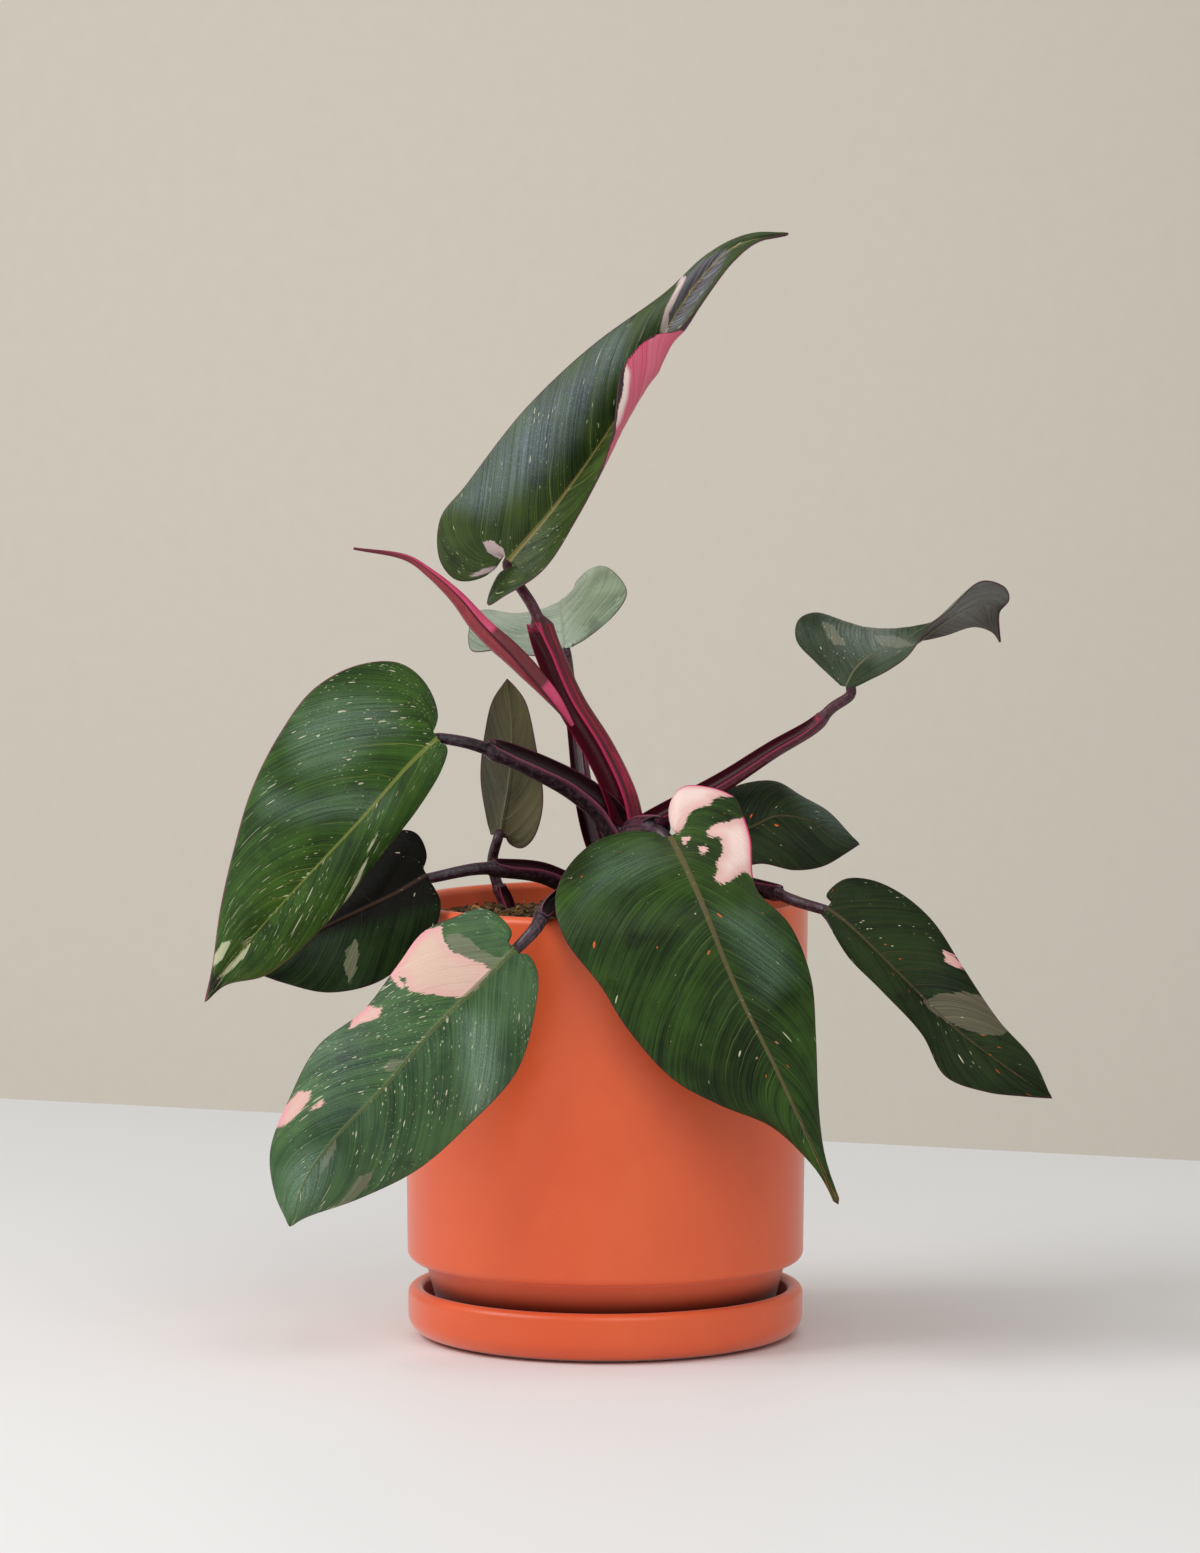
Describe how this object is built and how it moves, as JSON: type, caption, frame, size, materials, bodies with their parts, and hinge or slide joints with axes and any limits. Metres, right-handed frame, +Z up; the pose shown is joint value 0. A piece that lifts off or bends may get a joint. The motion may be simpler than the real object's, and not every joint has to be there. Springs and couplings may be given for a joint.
{
  "type": "pink princess philodendron in a pot",
  "caption": "Potted philodendron with dark green, pink-splashed heart-shaped leaves in a straight ceramic pot on a saucer.",
  "frame": {"origin": "centre of the saucer's flat underside, which stands on the surface", "axes": "+Z up, from the saucer to the tip of the top leaf; the largest leaf hangs over the pot towards -Y"},
  "size_m": [0.3353, 0.2427, 0.4503],
  "materials": {
    "pot_ceramic": "satin",
    "saucer_ceramic": "satin",
    "soil": "matte",
    "stem": "satin",
    "leaf_green": "satin",
    "leaf_new": "satin"
  },
  "bodies": {
    "root": {"pot": "pot_ceramic", "saucer": "saucer_ceramic", "soil": "soil", "main_stem": "stem", "side_stem": "stem", "leaf_new_rolled": "leaf_new", "leaf_top": "leaf_green", "leaf_back_top": "leaf_green", "leaf_right_far": "leaf_green", "leaf_left_big": "leaf_green", "leaf_left_behind": "leaf_green", "leaf_front_left": "leaf_green", "leaf_front_centre": "leaf_green", "leaf_back_small": "leaf_green", "leaf_right_mid": "leaf_green", "leaf_right_low": "leaf_green"}
  },
  "joints": []
}
